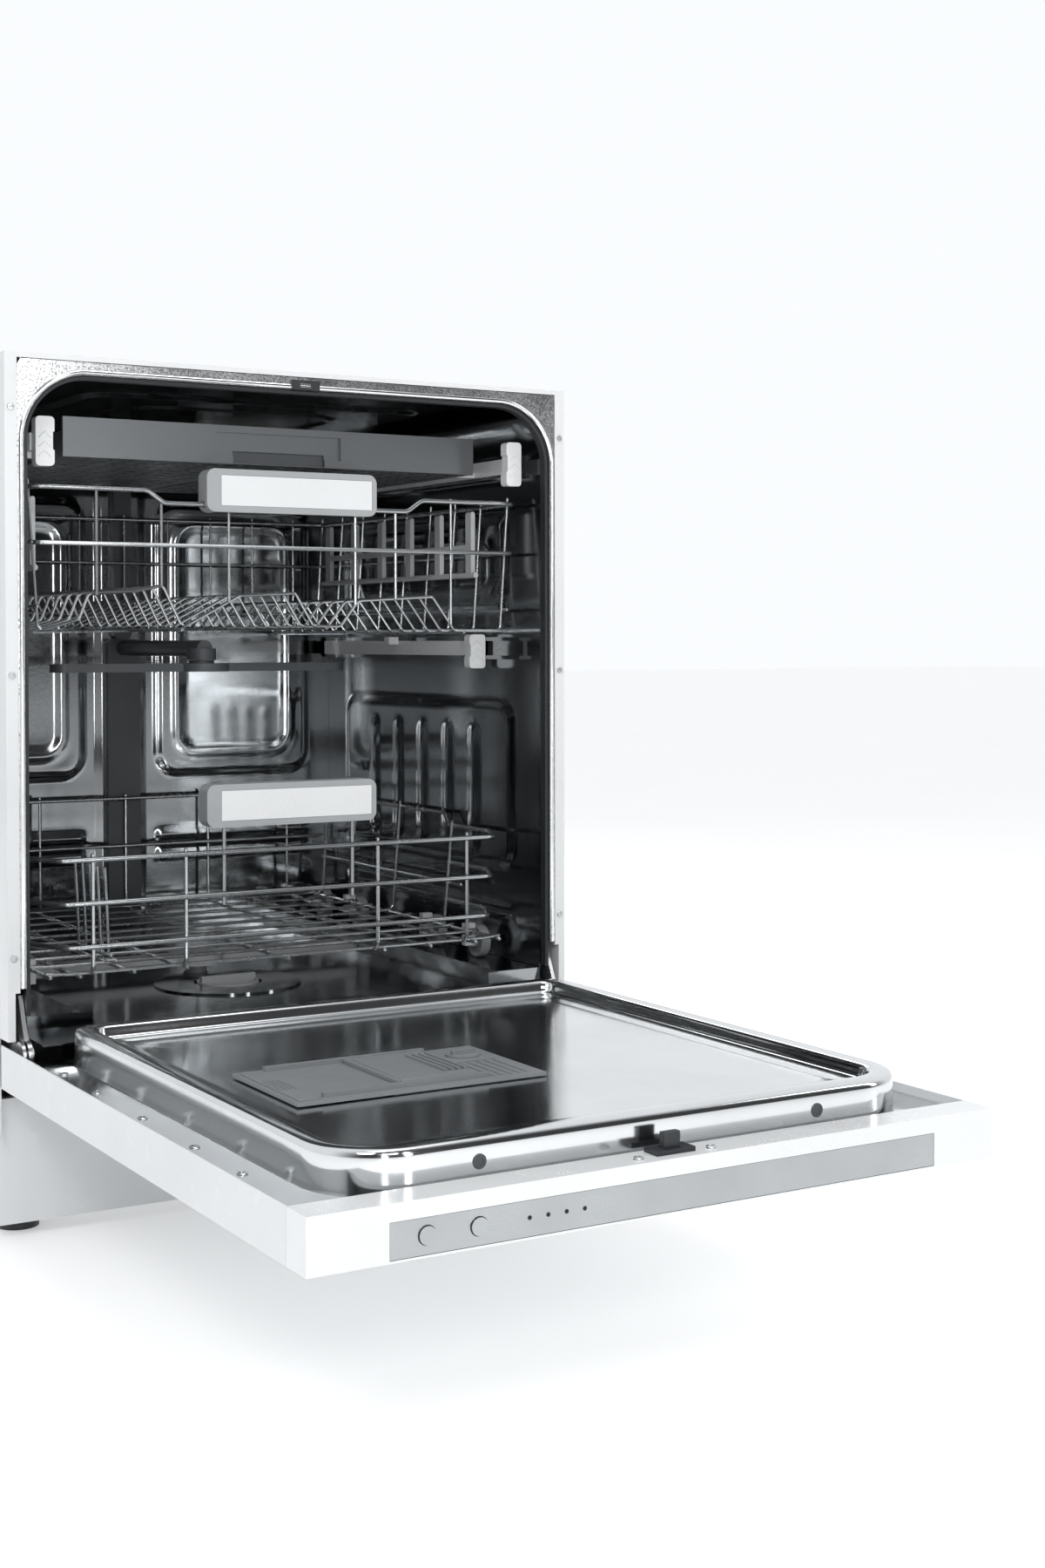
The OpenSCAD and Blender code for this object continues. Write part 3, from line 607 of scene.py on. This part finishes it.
def resample(pts, n):
    d = [0.0]
    for p, q in zip(pts, pts[1:]):
        d.append(d[-1] + math.hypot(q[0] - p[0], q[1] - p[1]))
    res, j = [], 0
    for i in range(n):
        t = d[-1] * i / (n - 1)
        while j < len(d) - 2 and d[j + 1] < t:
            j += 1
        f = min(1.0, (t - d[j]) / max(d[j + 1] - d[j], 1e-9))
        res.append((pts[j][0] + (pts[j + 1][0] - pts[j][0]) * f, pts[j][1] + (pts[j + 1][1] - pts[j][1]) * f))
    return res


ring_plate("throat_web", resample(arch_path(OH + 1.0, OT + 1.0, OR + 1.0, 240, 6, 24), 260), resample(arch_path(HW, TOP, R, 240, 6, 24), 260), 13.1, 14.3, "tub_steel")
m = Mesh()
bp_ = arch_path(OH + 2.5, OT + 2.5, OR + 2.5, 240, 8, 24)
m.sweep([Vector((x, 1.4, z)) for x, z in bp_], [(2.5 * math.cos(2 * math.pi * i / 14), 2.5 * math.sin(2 * math.pi * i / 14)) for i in range(14)])
m.make("opening_bead", "bead_steel", "body")
m = Mesh()
for off, yy, rr in ((2.2, 3.9, 1.6), (3.4, 8.0, 1.1)):
    gp = arch_path(OH - off, OT - off, OR - off, 215, 8, 24)
    m.sweep([Vector((x, yy, z)) for x, z in gp], [(rr * math.cos(2 * math.pi * i / 10), rr * math.sin(2 * math.pi * i / 10)) for i in range(10)])
m.make("gasket_lips", "black_rubber", "body")

# side screws in the white strips
m = Mesh()
for s in (-1, 1):
    for z in (268, 526, 770):
        m.lathe((s * 293.3, 0.0, z), (0, -1, 0), [(3.4, 0.02), (3.4, 0.7), (2.9, 1.25), (1.4, 1.35), (1.2, 0.7), (0.2, 0.6)], 24)
m.make("frame_screws", "zinc_sheet", "body")

# ---------------------------------------------------------------- baskets
UP = [(-249.4, 568), (-216, 578), (-206, 603), (-160, 605), (-132, 611), (-112, 570), (-52, 602), (8, 605), (28, 572), (58, 572),
      (78, 598), (164, 603), (190, 568), (249.4, 568)]
u1, u2 = 38, 508
m = Mesh()
for i in range(0, 17):
    y = u1 + 5.1 if i == 0 else u1 + 6 + i * 28.6
    if i == 16:
        y = u2 - 6
    m.wire([(x, y, z) for x, z in UP], 1.55, 7, 8)
for x, z in ((-236, 569.6), (-112, 568.4), (43, 570.4), (202, 566.4)):
    m.wire([(x, u1 + 4, z), (x, u2 - 4, z)], 2.0, 0)
for s in (-1, 1):
    for i in range(0, 9):
        y = u1 + 16 + i * 57
        m.wire([(s * 249, y, 568.4), (s * 252.2, y, 572), (s * 261.0, y, 703), (s * 261.2, y, 709)], 1.5, 5, 8)
    m.wire([(s * 259.6, u1 + 6, 650), (s * 259.6, u2 - 3, 650)], 1.9, 0)
    m.wire([(s * 255.4, u1 + 6, 590), (s * 255.4, u2 - 3, 590)], 1.7, 0)
# rim: one bent wire round the basket, dropped at the handle
rim = [(0, u1, 690), (132, u1, 690), (149, u1, 702), (262, u1, 702), (262, u2, 702), (0, u2, 702)]
m.wire(rim, 2.5, 14, 12)
m.wire(mirrored(rim), 2.5, 14, 12)
m.wire([(-259, u1 + 14, 650), (-257.5, u1, 649.5), (257.5, u1, 649.5), (259, u1 + 14, 650)], 2.2, 10, 10)
for x, z, hi in ((-199, 601, 1), (-134, 610, 0), (-64, 595, 0), (74, 594, 0), (120, 600, 0), (185, 574, 1)):
    m.wire([(x, u1 + 3.2, z), (x, u1 + 3.2, 705 if hi else 692)], 1.6, 0, 8)
m.wire([(-258, u2, 650), (258, u2, 650)], 1.9, 0)
for i in range(-4, 5):
    m.wire([(i * 55, u2 + 2.2, 572 if i in (-4, 4) else 586), (i * 55, u2 + 2.2, 707)], 1.5, 0, 8)
m.wire([(-252, u2, 590), (252, u2, 590)], 1.7, 0)
ub = m.make("upper_basket_wires", "coated_wire", "upper_basket")
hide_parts("upper_basket")

l1, l2 = 38, 507
m = Mesh()
# floor: long wires with a shallow V bend, cross wires above them
for i in (-4, -3, -2, 0, 2, 3, 4):
    m.wire([(i * 54, l1 + 5, 239), (i * 54, l1 + 40, 237.6), (i * 54, l2 - 40, 237.6), (i * 54, l2 - 5, 239)], 2.0, 10, 8)
for i in range(10):
    y = l1 + 12 + i * 50
    m.wire([(-248, y, 243), (-228, y, 241.4), (228, y, 241.4), (248, y, 243)], 1.9, 8, 10)
for s in (-1, 1):
    m.wire([(s * 245, l1 + 6, 240), (s * 245, l2 - 4, 240)], 2.25, 0)
    m.wire([(s * 263.2, l1 + 140, 349.6), (s * 263.3, l1 + 150, 350.4), (s * 263.4, l1 + 160, 362.6), (s * 263.4, l2 - 2, 363.6), (s * 250, l2, 366)], 2.4, 7, 12)
    m.wire([(s * 257.2, l1 + 110, 286), (s * 257.2, l2 - 3, 286)], 2.0, 0)
    for y, t in ((138, 355), (263, 369), (378, 369), (455, 369)):
        m.wire([(s * 245, l1 + y, 241), (s * 251, l1 + y, 246.5), (s * 261.0, l1 + y, t)], 1.9, 5, 10)
for z, hwf in ((350, 263), (308.5, 259.5), (267, 256)):
    m.wire([(-hwf, l1 + 145, z), (-hwf, l1 + 60, z), (28 - hwf, l1, z), (hwf - 28, l1, z), (hwf, l1 + 60, z), (hwf, l1 + 145, z)], 2.5, 14, 12)
for x in (-204, -110, 99, 204):
    m.wire([(x, l1 + 9, 240.5), (x, l1 + 3.6, 247), (x, l1 + 3.6, 355)], 2.0, 5, 10)
for x in (-70, 70):
    m.wire([(x, l1 + 3.8, 298), (x, l1 + 3.8, 381)], 2.2, 0, 10)
for z in (369.5, 313):
    m.wire([(-256, l2, z), (256, l2, z)], 2.2, 0)
for i in range(-2, 3):
    m.wire([(i * 105, l2 - 3, 240.5), (i * 105, l2 + 2.6, 247), (i * 105, l2 + 2.6, 374)], 1.9, 5, 10)
lb = m.make("lower_basket_wires", "coated_wire", "lower_basket")
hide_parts("lower_basket")

# tine rows: bent tines with their pivot wire
for nm, x, ya, yb, nt_ in (("tine_row_rear", -190, 285, 425, 6), ("tine_row_front", -167, 95, 200, 5)):
    m = Mesh()
    m.wire([(x, ya, 247.5), (x, yb, 247.5)], 2.0, 0)
    for i in range(nt_):
        y = ya + 8 + i * (yb - ya - 16) / (nt_ - 1)
        m.wire([(x, y, 247.5), (x, y, 256), (x - 1.5, y, 298), (x - 3.5, y, 334)], 1.8, 8, 10)
    o = m.make(nm + "_wires", "coated_wire", nm)
    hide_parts(nm)
    m = Mesh()
    for y in (ya + 3, yb - 3):
        m.box(x - 5, x + 5, y - 5, y + 5, 243.6, 245.2)
    m.make(nm + "_clips", "light_plastic", "lower_basket", bevel=0.4)

# ---------------------------------------------------------------- wheels
wz = 211 + 17.5 + 0.4
wy = [l1 + 73, l1 + 171, l1 + 367, l1 + 465]
for nm, y in zip(("wheels_front", "wheels_second", "wheels_third", "wheels_rear"), wy):
    m = Mesh()
    for s in (-1, 1):
        prof = [(3.1, 0.4), (5.6, 0.2), (6.4, 0.9), (6.5, 3.6), (13.2, 3.6), (13.9, 2.9), (14.2, 0.9), (15.2, 0.2), (16.7, 0.3), (17.4, 1.2), (17.5, 2.4),
                (17.5, 9.4), (17.3, 10.8), (16.4, 11.6), (14.6, 11.8), (13.8, 11.2), (13.4, 8.4), (12.8, 7.8), (7.0, 7.8), (6.4, 8.4), (6.2, 11.0), (5.6, 11.6), (3.1, 11.7)]
        m.ring((s * 252.2, y, wz), (s, 0, 0), prof, 48)
        for k in range(6):
            a = math.pi / 3 * k
            c, d = math.cos(a), math.sin(a)
            b0 = []
            for hx in (7.7, 9.4):
                for (rr, ww) in ((6.3, -0.8), (13.5, -0.8), (13.5, 0.8), (6.3, 0.8)):
                    b0.append((s * (252.2 + hx), y + c * rr - d * ww, wz + d * rr + c * ww))
            m.add(b0, [(0, 1, 2, 3), (4, 7, 6, 5), (0, 4, 5, 1), (1, 5, 6, 2), (2, 6, 7, 3), (3, 7, 4, 0)])
    o = m.make(nm + "_tyres", "wheel_grey", nm, 30)
    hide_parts(nm)
m = Mesh()
for s in (-1, 1):
    for y in wy:
        m.lathe((s * 263.5, y, wz), (s, 0, 0), [(4.4, 0), (4.4, 0.9), (3.6, 1.5), (1.0, 1.7)], 24)
m.make("wheel_caps", "black_plastic", "lower_basket")

# ---------------------------------------------------------------- door liner: pressed pan
PF, PB, PW = -603, -45, 260


def pan_loop(inset, z):
    rf = max(60 - inset, 8)
    rb = max(24 - 0.4 * inset, 8)
    ix = inset if inset < 5 else 5 + (inset - 5) * 0.62
    return [(x, y, z) for x, y in soft_loop(-PW + ix, PW - ix, PF + inset, PB - ix, (rf, rf, rb, rb), 12, 14)]


prof = [(-1.2, 178.0), (0.3, 178.7), (0.8, 181), (0.9, 195), (1.0, 205.5), (1.5, 208.3), (2.8, 210.2), (4.6, 211.0), (16, 211.0), (21.5, 210.9),
        (24.5, 210.2), (26.8, 208.2), (28.2, 205.0), (29.4, 202.2), (31.2, 200.7), (34, 200.1), (52, 200.0), (58, 199.2), (66, 199.0)]
loops = [pan_loop(i, z) for i, z in prof]
m0 = loops[0]
flange = []
for (x, y, z) in m0:
    # out to the flange's edge
    cx, cy = 0, (PF + PB) / 2
    fx = (297.2 - 0) / max(abs(x), 1e-6)
    hy = (cy - (-605.6)) if y < cy else (-31.2 - cy)
    fy = hy / max(abs(y - cy), 1e-6)
    f = min(fx, fy)
    flange.append((x * f, cy + (y - cy) * f, 178.0))
top = [flange, loops[0]] + loops[1:]
last = loops[-1]
dx1, dx2, dy1, dy2 = -112, 22, -402, -282
dcx, dcy = (dx1 + dx2) / 2, (dy1 + dy2) / 2
hole = []
for (x, y, z) in last:
    vx, vy = x - dcx, y - dcy
    f = min((dx2 - dcx) / max(abs(vx), 1e-6), (dy2 - dcy) / max(abs(vy), 1e-6))
    hole.append((dcx + vx * f, dcy + vy * f, 199.2))
top.append(hole)
under = [[(x, y, z - 1.2) for (x, y, z) in l] for l in top]
m = Mesh()
m.loft(top + list(reversed(under)), cap=False, wrap=True)
liner = m.make("door_liner_pan", "pan_steel", "door", 50)
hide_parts("door_inner_liner")

# round holes with dark grommets in the pan's front wall
m = Mesh()
for x in (-150, 150):
    m.lathe((x, PF + 0.9, 195), (0, -1, 0), [(5.5, 0), (5.5, 0.5), (5.0, 0.9), (3.2, 0.9), (3.0, 0.4), (0.2, 0.4)], 28)
m.make("pan_grommets", "dark_plastic", "door")

# screws with a round recess
m = Mesh()
for s in (-1, 1):
    for y in (-96, -182, -289, -398, -488):
        m.lathe((s * 279, y, 178.05), (0, 0, 1), [(4.2, 0), (4.2, 0.5), (3.8, 1.3), (2.6, 1.8), (1.7, 1.9), (1.5, 1.1), (0.2, 1.0)], 28)
for x in (-32, 32):
    m.lathe((x, -625, 186.05), (0, 0, 1), [(4.2, 0), (4.2, 0.5), (3.8, 1.3), (2.6, 1.8), (1.7, 1.9), (1.5, 1.1), (0.2, 1.0)], 28)
sc_ = m.make("door_screw_heads", "zinc_sheet", "door")
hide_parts("door_screws")

# dark joint line round the fascia
m = Mesh()
for x1, x2, z1, z2 in ((-238.3, 238.3, 173.0, 173.35), (-238.3, 238.3, 147.65, 148.0), (-238.35, -238.02, 147.7, 173.3), (238.02, 238.35, 147.7, 173.3)):
    m.box(x1, x2, -636.4, -634.6, z1, z2)
m.make("fascia_joint", "dark_gap", "door")
# small lamps beside the buttons
m = Mesh()
for x in (-130, -115, -100, -85):
    m.lathe((x, -636.6, 161), (0, -1, 0), [(1.6, 0), (1.6, 0.25), (1.2, 0.45), (0.2, 0.5)], 20)
m.make("fascia_lamps", "dark_gap", "door")

# ---------------------------------------------------------------- dispenser relief
m = Mesh()
m.box(-97, -60, -386, -293, 205.8, 206.6)
m.box(-101, -29, -391.6, -388.6, 205.8, 207.0)
m.make("lid_ribs", "dispenser_grey", "dispenser_lid", bevel=0.35)
m = Mesh()
for i in range(5):
    m.box(-20 + i * 8, -17.5 + i * 8, -398, -340, 202.9, 203.8)
m.box(-22, 18, -337, -334.5, 202.9, 204)
m.box(-194, -176, -401, -283, 202.9, 203.9)
for i in range(4):
    m.box(-191 + i * 4, -189 + i * 4, -360, -324, 203.8, 204.6)
m.make("dispenser_ribs", "dispenser_grey", "door", bevel=0.35)

# ---------------------------------------------------------------- rail end caps with chevrons
for body, zc, y1, x1, x2, zlo, zhi in (("upper_basket", 549, 116, 250, 269.9, 531, 567), ("cutlery_tray", 743, 26, 244, 262, 724, 762)):
    m = Mesh()
    for s in (-1, 1):
        for k in range(3):
            z0 = zlo + 5 + k * (zhi - zlo - 12) / 3
            xm = (x1 + x2) / 2
            a = [(s * (x1 + 3.5), y1 - 0.02, z0), (s * xm, y1 - 0.02, z0 + 5), (s * (x2 - 3.5), y1 - 0.02, z0)]
            m.wire(a, 0.8, 1.0, 8)
    m.make(body + "_cap_chevrons", "white_plastic", body)

# ---------------------------------------------------------------- floor and light
me = bpy.data.meshes.new("floor")
me.from_pydata([(-30, -30, 0), (30, -30, 0), (30, 30, 0), (-30, 30, 0)], [], [(0, 1, 2, 3)])
floor = bpy.data.objects.new("floor", me)
scene.collection.objects.link(floor)
floor.location.z = -0.0005
fm = material("floor_pale", (0.80, 0.80, 0.80), 0.0, 0.55, 0.05, 60, 0.02, 0.0002, dirt=0.01, dirt_scale=2)
for n in fm.node_tree.nodes:
    if n.type == "BSDF_PRINCIPLED":
        n.inputs["Emission Color"].default_value = (0.97, 0.985, 1.0, 1)
        n.inputs["Emission Strength"].default_value = 0.33
me.materials.append(fm)

w = bpy.data.worlds.new("studio")
scene.world = w
w.use_nodes = True
nt = w.node_tree
bg = nt.nodes["Background"]
bg.inputs[1].default_value = 1.0
tc = nt.nodes.new("ShaderNodeTexCoord")
sx = nt.nodes.new("ShaderNodeSeparateXYZ")
nt.links.new(tc.outputs["Generated"], sx.inputs[0])
mr = nt.nodes.new("ShaderNodeMapRange")
mr.interpolation_type = "SMOOTHSTEP"
mr.inputs["From Min"].default_value = -0.75
mr.inputs["From Max"].default_value = 0.15
mr.inputs["To Min"].default_value = 0.05
mr.inputs["To Max"].default_value = 1.0
nt.links.new(sx.outputs["Y"], mr.inputs["Value"])
lp = nt.nodes.new("ShaderNodeLightPath")
mx = nt.nodes.new("ShaderNodeMath")
mx.operation = "MAXIMUM"
nt.links.new(lp.outputs["Is Camera Ray"], mx.inputs[0])
nt.links.new(mr.outputs[0], mx.inputs[1])
cm = nt.nodes.new("ShaderNodeMix")
cm.data_type = "RGBA"
cm.inputs[6].default_value = (0.0, 0.0, 0.0, 1)
cm.inputs[7].default_value = (0.96, 0.98, 1.0, 1)
nt.links.new(mx.outputs[0], cm.inputs[0])
nt.links.new(cm.outputs[2], bg.inputs[0])


def area(name, loc, target, size, power, color=(1, 1, 1)):
    d = bpy.data.lights.new(name, "AREA")
    d.shape = "RECTANGLE"
    d.size, d.size_y = size
    d.energy = power
    d.color = color
    o = bpy.data.objects.new(name, d)
    scene.collection.objects.link(o)
    o.location = loc
    o.rotation_euler = (Vector(target) - Vector(loc)).to_track_quat("-Z", "Y").to_euler()


area("key", (-1.9, -2.2, 2.4), (0, 0, 0.4), (1.0, 1.0), 32)
area("fill", (2.2, -1.8, 1.5), (0, 0, 0.4), (0.3, 1.8), 14)
area("strip_left", (-0.9, -2.9, 1.0), (0, 0.2, 0.5), (0.12, 1.8), 14)
area("strip_right", (0.5, -3.1, 1.1), (0, 0.2, 0.5), (0.16, 1.6), 12)
area("front", (-0.4, -3.2, 1.7), (0, 0.2, 0.5), (0.5, 0.5), 12)
area("top", (0.2, -0.7, 2.6), (0, -0.3, 0.2), (1.6, 0.8), 12)
area("rear", (0.6, 2.6, 2.2), (0, 0, 0.5), (1.8, 1.2), 22)
